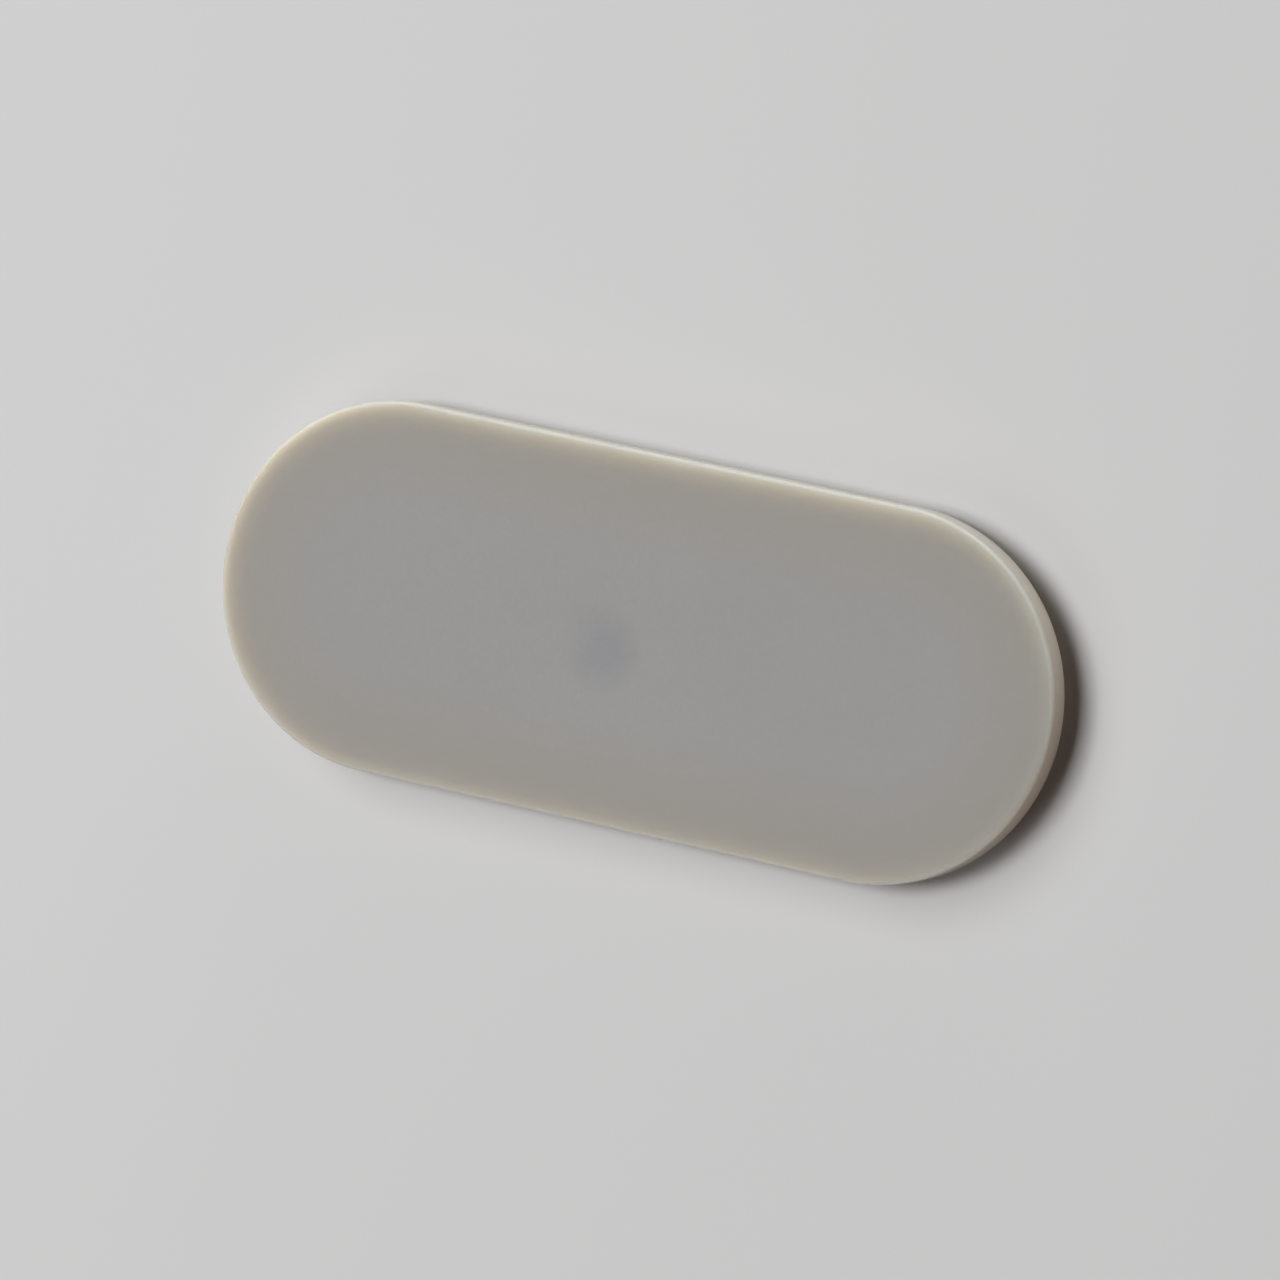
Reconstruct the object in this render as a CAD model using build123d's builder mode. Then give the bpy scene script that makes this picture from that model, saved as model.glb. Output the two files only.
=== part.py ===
"""Webcam cover slider, closed: it lies on its adhesive face with the front face up.

X runs along the slide, Y across it and +Z out of the front face. Sizes are in millimetres.
"""
import os

from build123d import *

# Cover, the moulded front plate that the finger pushes
cover_length = 34.0
cover_width = 14.0
cover_thickness = 1.25
front_edge_radius = 0.15
back_edge_radius = 0.1
solid_end = 3.0
lip_thickness = 0.35
mouth_lead_in = 0.1

# Base, the moulded plate that is stuck down and carries the cover
base_thickness = 0.5
base_inset = 0.8
base_edge_radius = 0.12
window_radius = 3.5
window_chamfer = 0.15
rail_neck_width = 6.0
rail_overhang = 0.3
rail_head_thickness = 0.3
rail_lead_in = 0.12

# Adhesive, the die-cut pad under the base
adhesive_thickness = 0.2
adhesive_inset = 0.4
adhesive_window_margin = 0.4

# Clearances of the sliding fit
slide_gap = 0.05
side_gap = 0.05
stop_gap = 0.05
view_margin = 0.5

# Heights, from the adhesive up
base_top = adhesive_thickness + base_thickness
cover_bottom = base_top + slide_gap
lip_top = cover_bottom + lip_thickness
rail_head_bottom = lip_top + slide_gap
channel_height = rail_head_thickness + 2 * slide_gap

# The window sits on the centre of the left end's round, and the travel uncovers all of it
window_x = -(cover_length - cover_width) / 2
travel = window_x + window_radius + view_margin + cover_length / 2

# The blind T-slot in the cover, and the T-rail on the base that it runs on
mouth_length = cover_length - 2 * solid_end
mouth_width = rail_neck_width + 2 * side_gap
neck_length = mouth_length - travel - 2 * stop_gap
head_length = neck_length + 2 * rail_overhang
head_width = rail_neck_width + 2 * rail_overhang
channel_length = mouth_length + 2 * rail_overhang
channel_width = mouth_width + 2 * rail_overhang
rail_x = travel / 2

# Outlines that follow the cover's
base_length = cover_length - 2 * base_inset
base_width = cover_width - 2 * base_inset
adhesive_length = base_length - 2 * adhesive_inset
adhesive_width = base_width - 2 * adhesive_inset
adhesive_window_radius = window_radius + adhesive_window_margin

os.makedirs("parts", exist_ok=True)

# Adhesive pad: one die-cut piece of double-sided tape with the window cut through it
with BuildPart() as adhesive_pad:
    with BuildSketch():
        SlotOverall(adhesive_length, adhesive_width)
        with Locations((window_x, 0)):
            Circle(adhesive_window_radius, mode=Mode.SUBTRACT)
    extrude(amount=adhesive_thickness)
adhesive_pad.part.label = "adhesive_pad"
export_step(adhesive_pad.part, "parts/adhesive_pad.step")

# Base plate: thin plate with the camera window at one end and the T-rail on its front
with BuildPart() as base_plate:
    with BuildSketch(Plane.XY.offset(adhesive_thickness)):
        SlotOverall(base_length, base_width)
    extrude(amount=base_thickness)
    fillet(base_plate.edges().group_by(Axis.Z)[-1], base_edge_radius)
    with BuildSketch(Plane.XY.offset(adhesive_thickness)):
        with Locations((window_x, 0)):
            Circle(window_radius)
    extrude(amount=base_thickness, mode=Mode.SUBTRACT)
    window_rim = base_plate.faces().sort_by(Axis.Z)[-1].inner_wires()[0].edges()
    chamfer(window_rim, window_chamfer)
    with BuildSketch(Plane.XY.offset(base_top)):
        with Locations((rail_x, 0)):
            SlotOverall(neck_length, rail_neck_width)
    extrude(amount=rail_head_bottom - base_top)
    with BuildSketch(Plane.XY.offset(rail_head_bottom)):
        with Locations((rail_x, 0)):
            SlotOverall(head_length, head_width)
    extrude(amount=rail_head_thickness)
    chamfer(base_plate.edges().group_by(Axis.Z)[-1], rail_lead_in)
base_plate.part.label = "base_plate"
export_step(base_plate.part, "parts/base_plate.step")

# Slide cover: plain front, with the blind T-slot in its back that snaps over the rail
with BuildPart() as slide_cover:
    with BuildSketch(Plane.XY.offset(cover_bottom)):
        SlotOverall(cover_length, cover_width)
    extrude(amount=cover_thickness)
    fillet(slide_cover.edges().group_by(Axis.Z)[-1], front_edge_radius)
    fillet(slide_cover.edges().group_by(Axis.Z)[0], back_edge_radius)
    with BuildSketch(Plane.XY.offset(cover_bottom)):
        SlotOverall(mouth_length, mouth_width)
    extrude(amount=lip_thickness, mode=Mode.SUBTRACT)
    mouth_rim = slide_cover.faces().sort_by(Axis.Z)[0].inner_wires()[0].edges()
    chamfer(mouth_rim, mouth_lead_in)
    with BuildSketch(Plane.XY.offset(lip_top)):
        SlotOverall(channel_length, channel_width)
    extrude(amount=channel_height, mode=Mode.SUBTRACT)
slide_cover.part.label = "slide_cover"
export_step(slide_cover.part, "parts/slide_cover.step")
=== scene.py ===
import math

import bmesh
import bpy
from mathutils import Matrix, Vector


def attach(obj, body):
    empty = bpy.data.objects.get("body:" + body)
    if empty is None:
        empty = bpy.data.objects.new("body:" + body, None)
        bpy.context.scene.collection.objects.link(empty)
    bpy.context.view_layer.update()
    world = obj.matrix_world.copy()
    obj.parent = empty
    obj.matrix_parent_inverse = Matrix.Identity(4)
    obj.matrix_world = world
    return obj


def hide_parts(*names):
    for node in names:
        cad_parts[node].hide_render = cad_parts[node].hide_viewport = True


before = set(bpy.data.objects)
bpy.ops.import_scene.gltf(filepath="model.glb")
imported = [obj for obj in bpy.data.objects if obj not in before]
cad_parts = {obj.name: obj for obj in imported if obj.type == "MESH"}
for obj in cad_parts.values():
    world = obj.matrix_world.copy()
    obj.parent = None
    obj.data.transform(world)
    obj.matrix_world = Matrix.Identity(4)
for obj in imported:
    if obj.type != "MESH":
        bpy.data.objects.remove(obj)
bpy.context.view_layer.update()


# Adhesive pad
# The piece of double-sided acrylic foam tape that holds the slider down, 0.2 mm thick.
# It is die-cut from sheet with the camera window punched through it, so its cut edges are
# dull and a little rounded, and it is stuck over the underside of the base plate.
MM = 0.001
OUTLINE_POINTS = 192
OUTLINE_SLACK = 0.001
SMOOTH_DEGREES = 30

pad_length = 31.6
pad_width = 11.6
pad_top = 0.2
pad_window = 7.8
pad_edge_radius = 0.04
pad_edge_steps = 3
pad_land = 0.02
window_x = -10.0


def start_piece(name):
    """Deselects everything and opens a new empty mesh at the origin, drawn in millimetres."""
    bpy.ops.object.select_all(action="DESELECT")
    bpy.ops.object.add(type="MESH", location=(0, 0, 0))
    piece = bpy.context.object
    piece.name = name
    piece.data.name = name
    bpy.ops.object.mode_set(mode="EDIT")
    bpy.ops.mesh.select_mode(type="VERT")
    return piece


def draw_outline(length, width, height, x=0.0, y=0.0):
    """Adds a round-ended outline: a circle whose right half is moved along X.

    The circle is turned by half a step, so that no point lies between its two halves.
    """
    straight = length - width
    left = x - straight / 2
    bpy.ops.mesh.primitive_circle_add(
        vertices=OUTLINE_POINTS,
        radius=width / 2,
        location=(left, y, height),
        rotation=(0, 0, math.pi / OUTLINE_POINTS),
    )
    mesh = bmesh.from_edit_mesh(bpy.context.object.data)
    for vertex in mesh.verts:
        vertex.select = vertex.select and vertex.co.x > left
    mesh.select_flush_mode()
    bpy.ops.transform.translate(value=(straight, 0, 0))


def lies_on(point, length, width, height, x=0.0, y=0.0):
    """Says whether a point lies on that outline."""
    beyond_straight = max(0.0, abs(point.x - x) - (length - width) / 2)
    from_spine = math.hypot(beyond_straight, point.y - y)
    is_level = abs(point.z - height) < OUTLINE_SLACK
    return is_level and abs(from_spine - width / 2) < OUTLINE_SLACK


def select_outlines(*outlines):
    """Selects what lies on these outlines and nothing else."""
    bpy.ops.mesh.select_all(action="DESELECT")
    mesh = bmesh.from_edit_mesh(bpy.context.object.data)
    for vertex in mesh.verts:
        vertex.select = any(lies_on(vertex.co, *outline) for outline in outlines)
    mesh.select_flush(True)


def draw_chain(chain):
    """Draws the outlines of a chain and bridges each one to the next."""
    for outline in chain:
        draw_outline(*outline)
    for pair in zip(chain, chain[1:]):
        select_outlines(*pair)
        bpy.ops.mesh.bridge_edge_loops()


def fill_between(*outlines):
    """Fills the flat face that these outlines bound, with the inner ones left open."""
    select_outlines(*outlines)
    bpy.ops.mesh.fill()


def round_rim(rim, radius, steps, land):
    """Closes a rim with a flat face, rounds its edge and opens the face inside a narrow land.

    Returns the outline of the opening.
    """
    length, width, height = rim
    select_outlines(rim)
    bpy.ops.mesh.edge_face_add()
    bpy.ops.mesh.bevel(offset=radius, segments=steps, profile=0.5, affect="EDGES")
    bpy.ops.mesh.select_all(action="DESELECT")
    mesh = bmesh.from_edit_mesh(bpy.context.object.data)
    for face in mesh.faces:
        is_flat = all(abs(vertex.co.z - height) < OUTLINE_SLACK for vertex in face.verts)
        if is_flat and len(face.verts) == OUTLINE_POINTS:
            face.select = True
    bpy.ops.mesh.inset(thickness=land)
    bpy.ops.mesh.delete(type="ONLY_FACE")
    shrink = 2 * (radius + land)
    return length - shrink, width - shrink, height


def finish_piece(piece):
    """Turns all faces outwards, goes from millimetres to metres and smooths the shading."""
    bpy.ops.mesh.select_all(action="SELECT")
    bpy.ops.mesh.normals_make_consistent(inside=False)
    bpy.ops.object.mode_set(mode="OBJECT")
    piece.scale = (MM, MM, MM)
    bpy.ops.object.transform_apply(location=False, rotation=False, scale=True)
    bpy.ops.object.shade_smooth_by_angle(angle=math.radians(SMOOTH_DEGREES))


adhesive_pad = start_piece("foam_tape_pad")
pad_bore_foot = (pad_window, pad_window, 0.0, window_x)
pad_bore_mouth = (pad_window, pad_window, pad_top, window_x)
pad_foot_rim = (pad_length, pad_width, 0.0)
pad_face_rim = (pad_length, pad_width, pad_top)
draw_chain([pad_bore_foot, pad_bore_mouth])
draw_chain([pad_foot_rim, pad_face_rim])
pad_foot = round_rim(pad_foot_rim, pad_edge_radius, pad_edge_steps, pad_land)
pad_face = round_rim(pad_face_rim, pad_edge_radius, pad_edge_steps, pad_land)
fill_between(pad_foot, pad_bore_foot)
fill_between(pad_face, pad_bore_mouth)
finish_piece(adhesive_pad)


def linear(code):
    """Turns an sRGB hex colour into the linear colour that a shader takes."""
    shares = [int(code[start:start + 2], 16) / 255 for start in (1, 3, 5)]
    channels = [c / 12.92 if c <= 0.04045 else ((c + 0.055) / 1.055) ** 2.4 for c in shares]
    return (*channels, 1.0)


def new_material(name):
    """Makes a node material with no nodes in it yet."""
    material = bpy.data.materials.new(name)
    material.use_nodes = True
    material.node_tree.nodes.clear()
    return material


def add_node(owner, kind, settings=None, links=None):
    """Adds a node with its settings, and links its inputs to other nodes' outputs."""
    made = owner.node_tree.nodes.new(kind)
    sockets = {socket.identifier: socket for socket in made.inputs}
    for name, value in (settings or {}).items():
        if name in sockets:
            sockets[name].default_value = value
        else:
            setattr(made, name, value)
    for name, (source, output) in (links or {}).items():
        outputs = {socket.identifier: socket for socket in source.outputs}
        owner.node_tree.links.new(outputs[output], sockets[name])
    return made


# Acrylic foam tape: a dull, pale, slightly sticky sheet, whose fine closed cells mottle it.
# The cells are about 0.1 mm wide and are drawn at 0.25 mm, so that they show.
foam_cell_middle = "#B9B2A4"
foam_cell_wall = "#CBC5B8"
foam_cloud = "#B5AD9D"
foam_cell_size = 0.25
foam_cell_depth = 0.01
foam_cloud_size = 3.0
foam_tape = new_material("acrylic_foam_tape")
foam_place = add_node(foam_tape, "ShaderNodeTexCoord")
foam_cells = add_node(
    foam_tape,
    "ShaderNodeTexVoronoi",
    {"Scale": 1 / (foam_cell_size * MM), "Randomness": 1.0},
    {"Vector": (foam_place, "Object")},
)
foam_clouds = add_node(
    foam_tape,
    "ShaderNodeTexNoise",
    {"Scale": 1 / (foam_cloud_size * MM), "Detail": 3.0},
    {"Vector": (foam_place, "Object")},
)
cell_tone = add_node(
    foam_tape,
    "ShaderNodeMix",
    {
        "data_type": "RGBA",
        "A_Color": linear(foam_cell_middle),
        "B_Color": linear(foam_cell_wall),
    },
    {"Factor_Float": (foam_cells, "Distance")},
)
foam_tone = add_node(
    foam_tape,
    "ShaderNodeMix",
    {"data_type": "RGBA", "B_Color": linear(foam_cloud)},
    {"Factor_Float": (foam_clouds, "Fac"), "A_Color": (cell_tone, "Result_Color")},
)
cell_bump = add_node(
    foam_tape,
    "ShaderNodeBump",
    {"Strength": 0.5, "Distance": foam_cell_depth * MM},
    {"Height": (foam_cells, "Distance")},
)
foam_shader = add_node(
    foam_tape,
    "ShaderNodeBsdfPrincipled",
    {"Roughness": 0.75, "IOR": 1.47},
    {"Base Color": (foam_tone, "Result_Color"), "Normal": (cell_bump, "Normal")},
)
add_node(foam_tape, "ShaderNodeOutputMaterial", {}, {"Surface": (foam_shader, "BSDF")})
adhesive_pad.data.materials.append(foam_tape)

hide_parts("adhesive_pad")
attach(adhesive_pad, "base")


# Base plate
# The thin plate that the tape holds in place, with the round camera window at its left end and
# the T-rail that carries the cover on its front. It is one injection moulding in the cover's
# plastic.
base_length = 32.4
base_width = 12.4
base_bottom = pad_top
base_top = 0.7
base_edge_radius = 0.12
base_edge_steps = 4
base_land = 0.05
window_bore = 7.0
window_chamfer = 0.15
rail_x = 5.5
neck_length = 16.9
neck_width = 6.0
head_bottom = 1.15
head_top = 1.45
head_overhang = 0.3
head_chamfer = 0.12

base_plate = start_piece("base_plate_with_rail")
window_flare = window_bore + 2 * window_chamfer
head_length = neck_length + 2 * head_overhang
head_width = neck_width + 2 * head_overhang
base_foot_rim = (base_length, base_width, base_bottom)
base_face_rim = (base_length, base_width, base_top)
window_mouth = (window_flare, window_flare, base_top, window_x)
window_step = (window_bore, window_bore, base_top - window_chamfer, window_x)
window_foot = (window_bore, window_bore, base_bottom, window_x)
neck_foot = (neck_length, neck_width, base_top, rail_x)
neck_crown = (neck_length, neck_width, head_bottom, rail_x)
head_foot = (head_length, head_width, head_bottom, rail_x)
head_shoulder = (head_length, head_width, head_top - head_chamfer, rail_x)
head_face = (head_length - 2 * head_chamfer, head_width - 2 * head_chamfer, head_top, rail_x)
draw_chain([base_foot_rim, base_face_rim])
draw_chain([window_mouth, window_step, window_foot])
draw_chain([neck_foot, neck_crown])
draw_chain([head_foot, head_shoulder, head_face])
base_face = round_rim(base_face_rim, base_edge_radius, base_edge_steps, base_land)
fill_between(base_face, window_mouth, neck_foot)
fill_between(base_foot_rim, window_foot)
fill_between(neck_crown, head_foot)
fill_between(head_face)
finish_piece(base_plate)


def measure_reach(owner, place, straight):
    """Adds the nodes that measure how far a point lies from the spine of a round-ended plate."""
    axes = add_node(owner, "ShaderNodeSeparateXYZ", {}, {"Vector": (place, "Object")})
    end_reach = add_node(
        owner,
        "ShaderNodeMath",
        {"operation": "ABSOLUTE"},
        {"Value": (axes, "X")},
    )
    past_straight = add_node(
        owner,
        "ShaderNodeMath",
        {"operation": "SUBTRACT", "Value_001": straight / 2 * MM},
        {"Value": (end_reach, "Value")},
    )
    round_reach = add_node(
        owner,
        "ShaderNodeMath",
        {"operation": "MAXIMUM", "Value_001": 0.0},
        {"Value": (past_straight, "Value")},
    )
    from_spine = add_node(
        owner,
        "ShaderNodeCombineXYZ",
        {},
        {"X": (round_reach, "Value"), "Y": (axes, "Y")},
    )
    return add_node(
        owner,
        "ShaderNodeVectorMath",
        {"operation": "LENGTH"},
        {"Vector": (from_spine, "Vector")},
    )


# Satin ABS: the same milky warm grey as the cover, as it came out of a smooth steel mould, so it
# shows a soft sheen and the faint clouds of the flowing plastic. Light sinks in under the
# surface of its thin rims, round the plate and round the window, and these rims are also painted
# paler and warmer, a painted glow. The fine grain that softens the sheen is far under 0.1 mm and
# is drawn at 0.12 mm, so that it shows.
flow_dark = "#8C8984"
flow_pale = "#97948F"
thin_rim_painted_glow = "#A9A294"
abs_ior = 1.53
flow_width = 5.0
satin_grain_size = 0.12
satin_grain_height = 0.002
satin_glossy = 0.34
satin_dull = 0.46
thin_rim = 1.4
thin_falloff = 2.5
thin_sink = 2.0
thin_sink_by_colour = (1.0, 0.82, 0.62)
satin_abs = new_material("satin_grey_abs")
satin_place = add_node(satin_abs, "ShaderNodeTexCoord")
flow = add_node(
    satin_abs,
    "ShaderNodeTexNoise",
    {"Scale": 1 / (flow_width * MM), "Detail": 2.0},
    {"Vector": (satin_place, "Object")},
)
flow_tone = add_node(
    satin_abs,
    "ShaderNodeMix",
    {"data_type": "RGBA", "A_Color": linear(flow_dark), "B_Color": linear(flow_pale)},
    {"Factor_Float": (flow, "Fac")},
)
plate_reach = measure_reach(satin_abs, satin_place, base_length - base_width)
plate_rim = add_node(
    satin_abs,
    "ShaderNodeMapRange",
    {"From Min": (base_width / 2 - thin_rim) * MM, "From Max": base_width / 2 * MM},
    {"Value": (plate_reach, "Value")},
)
from_window = add_node(
    satin_abs,
    "ShaderNodeMapping",
    {"Location": (-window_x * MM, 0, -base_top * MM)},
    {"Vector": (satin_place, "Object")},
)
window_reach = add_node(
    satin_abs,
    "ShaderNodeVectorMath",
    {"operation": "LENGTH"},
    {"Vector": (from_window, "Vector")},
)
window_rim = add_node(
    satin_abs,
    "ShaderNodeMapRange",
    {"From Min": (window_bore / 2 + thin_rim) * MM, "From Max": window_bore / 2 * MM},
    {"Value": (window_reach, "Value")},
)
nearest_rim = add_node(
    satin_abs,
    "ShaderNodeMath",
    {"operation": "MAXIMUM"},
    {"Value": (plate_rim, "Result"), "Value_001": (window_rim, "Result")},
)
thin_glow = add_node(
    satin_abs,
    "ShaderNodeMath",
    {"operation": "POWER", "Value_001": thin_falloff},
    {"Value": (nearest_rim, "Value")},
)
# The rims are painted paler and warmer here, a painted glow beside the light that sinks in.
plate_tone = add_node(
    satin_abs,
    "ShaderNodeMix",
    {"data_type": "RGBA", "B_Color": linear(thin_rim_painted_glow)},
    {"Factor_Float": (thin_glow, "Value"), "A_Color": (flow_tone, "Result_Color")},
)
satin_grain = add_node(
    satin_abs,
    "ShaderNodeTexNoise",
    {"Scale": 1 / (satin_grain_size * MM), "Detail": 1.0},
    {"Vector": (satin_place, "Object")},
)
satin_sheen = add_node(
    satin_abs,
    "ShaderNodeMapRange",
    {"To Min": satin_glossy, "To Max": satin_dull},
    {"Value": (satin_grain, "Fac")},
)
satin_bump = add_node(
    satin_abs,
    "ShaderNodeBump",
    {"Strength": 0.4, "Distance": satin_grain_height * MM},
    {"Height": (satin_grain, "Fac")},
)
satin_shader = add_node(
    satin_abs,
    "ShaderNodeBsdfPrincipled",
    {
        "IOR": abs_ior,
        "Subsurface Radius": thin_sink_by_colour,
        "Subsurface Scale": thin_sink * MM,
    },
    {
        "Base Color": (plate_tone, "Result_Color"),
        "Subsurface Weight": (thin_glow, "Value"),
        "Roughness": (satin_sheen, "Result"),
        "Normal": (satin_bump, "Normal"),
    },
)
add_node(satin_abs, "ShaderNodeOutputMaterial", {}, {"Surface": (satin_shader, "BSDF")})
base_plate.data.materials.append(satin_abs)

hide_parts("base_plate")
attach(base_plate, "base")


# Slide cover
# The plain front plate that the finger pushes over the window, one injection moulding with a
# matt front. A blind T-slot in its back snaps over the rail, and the ends of the slot stop it.
cover_length = 34.0
cover_width = 14.0
cover_bottom = 0.75
cover_top = 2.0
front_radius = 0.15
front_steps = 10
back_radius = 0.1
back_steps = 4
cover_land = 0.05
mouth_length = 28.0
mouth_width = 6.1
mouth_lead_in = 0.1
lip_top = 1.1
channel_top = 1.5
channel_overhang = 0.3
gate_x = -0.87
gate_y = -0.45
gate_halo = 3.4
gate_slope_width = 2.38
gate_slope_depth = 0.0048
gate_core = 1.0
gate_depth = 0.012

slide_cover = start_piece("slide_cover_plate")
channel_length = mouth_length + 2 * channel_overhang
channel_width = mouth_width + 2 * channel_overhang
channel_roof = (channel_length, channel_width, channel_top)
channel_floor = (channel_length, channel_width, lip_top)
lip_crown = (mouth_length, mouth_width, lip_top)
lip_foot = (mouth_length, mouth_width, cover_bottom + mouth_lead_in)
mouth = (mouth_length + 2 * mouth_lead_in, mouth_width + 2 * mouth_lead_in, cover_bottom)
back_rim = (cover_length, cover_width, cover_bottom)
front_rim = (cover_length, cover_width, cover_top)
gate_rim = (gate_halo, gate_halo, cover_top, gate_x, gate_y)
gate_slope = (gate_slope_width, gate_slope_width, cover_top - gate_slope_depth, gate_x, gate_y)
gate_floor = (gate_core, gate_core, cover_top - gate_depth, gate_x, gate_y)
draw_chain([channel_roof, channel_floor])
draw_chain([lip_crown, lip_foot, mouth])
draw_chain([back_rim, front_rim])
draw_chain([gate_rim, gate_slope, gate_floor])
back_face = round_rim(back_rim, back_radius, back_steps, cover_land)
front_face = round_rim(front_rim, front_radius, front_steps, cover_land)
fill_between(front_face, gate_rim)
fill_between(gate_floor)
fill_between(back_face, mouth)
fill_between(channel_floor, lip_crown)
fill_between(channel_roof)
finish_piece(slide_cover)

# Milky ABS, warm grey: moulded against spark-eroded steel, so its front has a fine even grit
# that scatters the light, while its wall is smooth. The wall is also painted paler, a painted
# light standing in for the light its sides catch. Along the rim light sinks in under the
# surface, and a band in from the rim is also painted warmer and paler, a painted glow. The
# rounded edge is painted as a thin pale line, a painted highlight. A faint, darker and cooler
# mark with an uneven edge lies over the gate. The grit is about 0.05 mm and is drawn at
# 0.12 mm, so that it shows.
middle_dark = "#8A8884"
middle_pale = "#8F8D89"
painted_warm_glow = "#8D8880"
painted_rim_glow = "#928E85"
wall_painted_light = "#A69F91"
painted_edge_highlight = "#A39E94"
gate_tint = "#828283"
cloud_size = 8.0
grit_size = 0.12
grit_height = 0.003
front_smooth = 0.55
front_rough = 0.7
wall_rough = 0.2
sink_depth = 12.0
sink_by_colour = (1.0, 0.64, 0.36)

# How far in from the rim each of these starts and is full, how high on the wall the front's
# finish does, and how much the mark over the gate drifts
warm_start = 4.0
warm_full = 1.0
glow_start = 2.5
glow_falloff = 3.5
edge_start = 0.15
edge_full = 0.075
front_start = 1.8
front_full = 1.95
drift_size = 3.2
drift_share = 0.9
stain_core = gate_core / 4
stain_edge = gate_halo / 2
rim_at = cover_width / 2
milky_abs = new_material("milky_warm_grey_abs")
milky_place = add_node(milky_abs, "ShaderNodeTexCoord")
milky_clouds = add_node(
    milky_abs,
    "ShaderNodeTexNoise",
    {"Scale": 1 / (cloud_size * MM), "Detail": 2.0},
    {"Vector": (milky_place, "Object")},
)
middle_tone = add_node(
    milky_abs,
    "ShaderNodeMix",
    {"data_type": "RGBA", "A_Color": linear(middle_dark), "B_Color": linear(middle_pale)},
    {"Factor_Float": (milky_clouds, "Fac")},
)
spine_reach = measure_reach(milky_abs, milky_place, cover_length - cover_width)
warmth = add_node(
    milky_abs,
    "ShaderNodeMapRange",
    {"From Min": (rim_at - warm_start) * MM, "From Max": (rim_at - warm_full) * MM},
    {"Value": (spine_reach, "Value")},
)
# A band in from the rim is painted warmer, a painted glow.
painted_warm_tone = add_node(
    milky_abs,
    "ShaderNodeMix",
    {"data_type": "RGBA", "B_Color": linear(painted_warm_glow)},
    {"Factor_Float": (warmth, "Result"), "A_Color": (middle_tone, "Result_Color")},
)
glow_reach = add_node(
    milky_abs,
    "ShaderNodeMapRange",
    {"From Min": (rim_at - glow_start) * MM, "From Max": rim_at * MM},
    {"Value": (spine_reach, "Value")},
)
rim_glow = add_node(
    milky_abs,
    "ShaderNodeMath",
    {"operation": "POWER", "Value_001": glow_falloff},
    {"Value": (glow_reach, "Result")},
)
# The rim is painted paler, a painted glow; the same share lets light sink in below.
painted_rim_tone = add_node(
    milky_abs,
    "ShaderNodeMix",
    {"data_type": "RGBA", "B_Color": linear(painted_rim_glow)},
    {"Factor_Float": (rim_glow, "Value"), "A_Color": (painted_warm_tone, "Result_Color")},
)
cover_axes = add_node(
    milky_abs,
    "ShaderNodeSeparateXYZ",
    {},
    {"Vector": (milky_place, "Object")},
)
front_share = add_node(
    milky_abs,
    "ShaderNodeMapRange",
    {"From Min": front_start * MM, "From Max": front_full * MM},
    {"Value": (cover_axes, "Z")},
)
edge_reach = add_node(
    milky_abs,
    "ShaderNodeMapRange",
    {"From Min": (rim_at - edge_start) * MM, "From Max": (rim_at - edge_full) * MM},
    {"Value": (spine_reach, "Value")},
)
edge_share = add_node(
    milky_abs,
    "ShaderNodeMath",
    {"operation": "MULTIPLY"},
    {"Value": (edge_reach, "Result"), "Value_001": (front_share, "Result")},
)
# The wall is painted paler, a painted light standing in for the light its sides catch.
wall_tone = add_node(
    milky_abs,
    "ShaderNodeMix",
    {"data_type": "RGBA", "A_Color": linear(wall_painted_light)},
    {"Factor_Float": (front_share, "Result"), "B_Color": (painted_rim_tone, "Result_Color")},
)
# The rounded edge is painted pale, a painted highlight.
edge_highlight_tone = add_node(
    milky_abs,
    "ShaderNodeMix",
    {"data_type": "RGBA", "B_Color": linear(painted_edge_highlight)},
    {"Factor_Float": (edge_share, "Value"), "A_Color": (wall_tone, "Result_Color")},
)
from_gate = add_node(
    milky_abs,
    "ShaderNodeMapping",
    {"Location": (-gate_x * MM, -gate_y * MM, -cover_top * MM)},
    {"Vector": (milky_place, "Object")},
)
gate_reach = add_node(
    milky_abs,
    "ShaderNodeVectorMath",
    {"operation": "LENGTH"},
    {"Vector": (from_gate, "Vector")},
)
gate_drift = add_node(
    milky_abs,
    "ShaderNodeTexNoise",
    {"Scale": 1 / (drift_size * MM), "Detail": 2.0},
    {"Vector": (milky_place, "Object")},
)
drift_reach = add_node(
    milky_abs,
    "ShaderNodeMapRange",
    {"To Min": 1 - drift_share, "To Max": 1 + drift_share},
    {"Value": (gate_drift, "Fac")},
)
stain_reach = add_node(
    milky_abs,
    "ShaderNodeMath",
    {"operation": "MULTIPLY"},
    {"Value": (gate_reach, "Value"), "Value_001": (drift_reach, "Result")},
)
gate_stain = add_node(
    milky_abs,
    "ShaderNodeMapRange",
    {
        "interpolation_type": "SMOOTHSTEP",
        "From Min": stain_core * MM,
        "From Max": stain_edge * MM,
        "To Min": 1.0,
        "To Max": 0.0,
    },
    {"Value": (stain_reach, "Value")},
)
cover_tone = add_node(
    milky_abs,
    "ShaderNodeMix",
    {"data_type": "RGBA", "B_Color": linear(gate_tint)},
    {"Factor_Float": (gate_stain, "Result"), "A_Color": (edge_highlight_tone, "Result_Color")},
)
grit = add_node(
    milky_abs,
    "ShaderNodeTexNoise",
    {"Scale": 1 / (grit_size * MM), "Detail": 2.0, "Roughness": 0.6},
    {"Vector": (milky_place, "Object")},
)
front_grit = add_node(
    milky_abs,
    "ShaderNodeMath",
    {"operation": "MULTIPLY"},
    {"Value": (grit, "Fac"), "Value_001": (front_share, "Result")},
)
grit_bump = add_node(
    milky_abs,
    "ShaderNodeBump",
    {"Strength": 0.6, "Distance": grit_height * MM},
    {"Height": (front_grit, "Value")},
)
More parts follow.
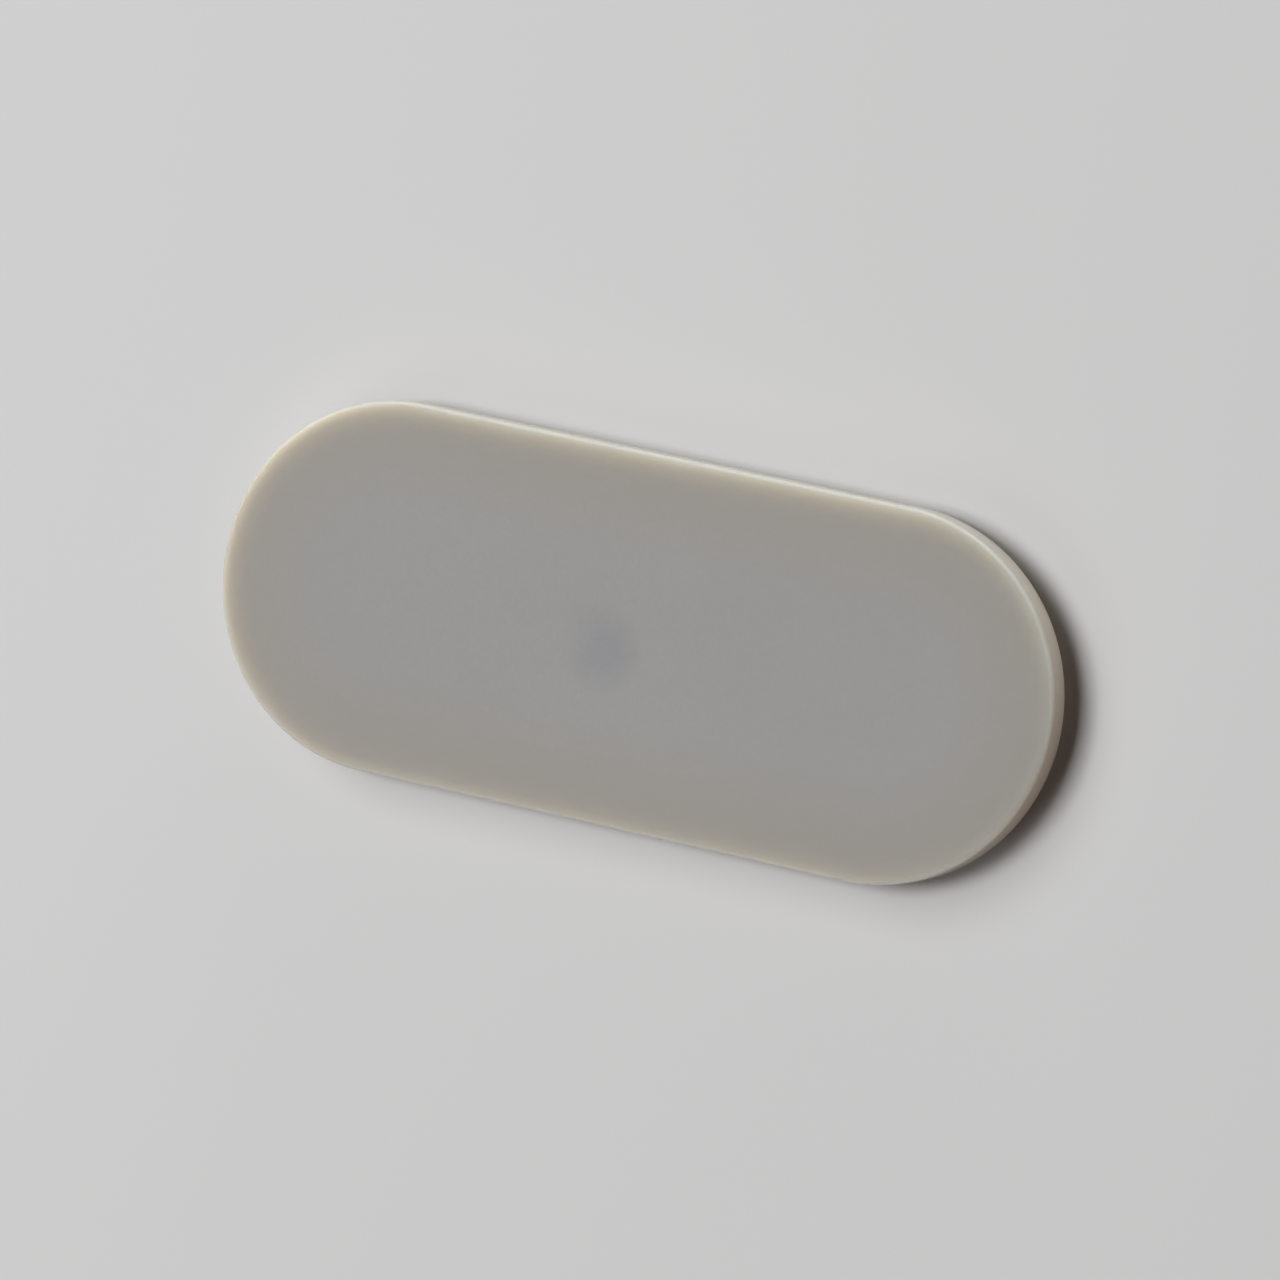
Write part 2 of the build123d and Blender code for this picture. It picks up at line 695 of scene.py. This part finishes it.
front_finish = add_node(
    milky_abs,
    "ShaderNodeMapRange",
    {"To Min": front_smooth, "To Max": front_rough},
    {"Value": (grit, "Fac")},
)
finish = add_node(
    milky_abs,
    "ShaderNodeMix",
    {"data_type": "FLOAT", "A_Float": wall_rough},
    {"Factor_Float": (front_share, "Result"), "B_Float": (front_finish, "Result")},
)
sink_share = add_node(
    milky_abs,
    "ShaderNodeMath",
    {"operation": "MULTIPLY"},
    {"Value": (rim_glow, "Value"), "Value_001": (front_share, "Result")},
)
milky_shader = add_node(
    milky_abs,
    "ShaderNodeBsdfPrincipled",
    {
        "IOR": abs_ior,
        "Subsurface Radius": sink_by_colour,
        "Subsurface Scale": sink_depth * MM,
    },
    {
        "Base Color": (cover_tone, "Result_Color"),
        "Subsurface Weight": (sink_share, "Value"),
        "Roughness": (finish, "Result_Float"),
        "Normal": (grit_bump, "Normal"),
    },
)
add_node(milky_abs, "ShaderNodeOutputMaterial", {}, {"Surface": (milky_shader, "BSDF")})
slide_cover.data.materials.append(milky_abs)

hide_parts("slide_cover")
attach(slide_cover, "cover")


# Floor
# The plain pale surface that the slider lies on for its picture: smooth matt board, three metres
# wide, so that its edges stay out of every view.
floor_size = 3.0
board_grey = "#CDCCCA"
bpy.ops.object.select_all(action="DESELECT")
bpy.ops.mesh.primitive_plane_add(size=floor_size, location=(0, 0, 0))
floor = bpy.context.object
floor.name = "floor"
pale_board = new_material("pale_matt_board")
board_shader = add_node(
    pale_board,
    "ShaderNodeBsdfPrincipled",
    {"Base Color": linear(board_grey), "Roughness": 0.9, "IOR": 1.3},
)
add_node(pale_board, "ShaderNodeOutputMaterial", {}, {"Surface": (board_shader, "BSDF")})
floor.data.materials.append(pale_board)


# Light
# A soft box in front of the cover and to its left, weaker ones to the upper and lower left, thin
# cards that stand on the floor above and below it, a warm one at the lower right, and a dim warm
# room. Together they put about as much light on the floor as makes a colour come out as written.
lamp_distance = 0.6
lamp_white = "#FAFCFF"
lamp_blue = "#E4ECFF"
lamp_amber = "#FFB060"
room_amber = "#FF9848"
room_strength = 0.02
along_x = (1, 0, 0)
along_y = (0, 1, 0)


def aim(thing, towards, sideways):
    """Turns a lamp or a camera: its back points one way and its width runs sideways."""
    back = Vector(towards).normalized()
    upward = back.cross(Vector(sideways)).normalized()
    turn = Matrix((upward.cross(back), upward, back)).transposed()
    thing.rotation_euler = turn.to_euler()


def add_soft_box(name, towards, sideways, length, width, power, colour):
    """Adds a rectangular lamp that shines on the object from that direction."""
    bpy.ops.object.light_add(type="AREA", location=Vector(towards).normalized() * lamp_distance)
    lamp = bpy.context.object
    lamp.name = name
    aim(lamp, towards, sideways)
    lamp.data.shape = "RECTANGLE"
    lamp.data.size = length
    lamp.data.size_y = width
    lamp.data.energy = power
    lamp.data.color = linear(colour)[:3]
    lamp.visible_camera = False


add_soft_box(
    "front_soft_box",
    towards=(-0.31, 0.05, 0.95),
    sideways=along_x,
    length=0.26,
    width=0.2,
    power=2.6,
    colour=lamp_white,
)
add_soft_box(
    "upper_left_soft_box",
    towards=(-0.52, 0.42, 0.74),
    sideways=along_x,
    length=0.3,
    width=0.3,
    power=1.15,
    colour=lamp_white,
)
add_soft_box(
    "lower_left_soft_box",
    towards=(-0.45, -0.6, 0.66),
    sideways=along_x,
    length=0.3,
    width=0.3,
    power=0.55,
    colour=lamp_white,
)
add_soft_box(
    "low_top_card",
    towards=(0.16, 0.985, 0.02),
    sideways=along_x,
    length=0.45,
    width=0.024,
    power=3.6,
    colour=lamp_white,
)
add_soft_box(
    "low_bottom_card",
    towards=(0.35, -0.94, 0.02),
    sideways=along_x,
    length=0.2,
    width=0.024,
    power=0.75,
    colour=lamp_blue,
)
add_soft_box(
    "low_warm_card",
    towards=(0.8, -0.6, 0.04),
    sideways=along_y,
    length=0.2,
    width=0.04,
    power=0.4,
    colour=lamp_amber,
)

room = bpy.data.worlds.new("dim_warm_room")
room.use_nodes = True
room.node_tree.nodes.clear()
room_light = add_node(
    room,
    "ShaderNodeBackground",
    {"Color": linear(room_amber), "Strength": room_strength},
)
add_node(room, "ShaderNodeOutputWorld", {}, {"Surface": (room_light, "Background")})
bpy.context.scene.world = room


# Camera
# It looks at the cover through a long lens from a third of a metre in front, to the right and a
# little above, and is rolled by ten degrees.
camera_place = Vector((0.1378, 0.0328, 0.3255))
camera_target = Vector((0.0, 0.0, 0.001))
camera_right = Vector((0.8984, 0.1753, -0.3992))
camera_lens = 268.0
bpy.ops.object.camera_add(location=camera_place)
camera = bpy.context.object
camera.name = "camera"
aim(camera, camera_place - camera_target, camera_right)
camera.data.lens = camera_lens
camera.data.sensor_width = 36.0
camera.data.clip_start = 0.01
camera.data.clip_end = 10.0
bpy.context.scene.camera = camera
bpy.context.scene.view_settings.view_transform = "Standard"
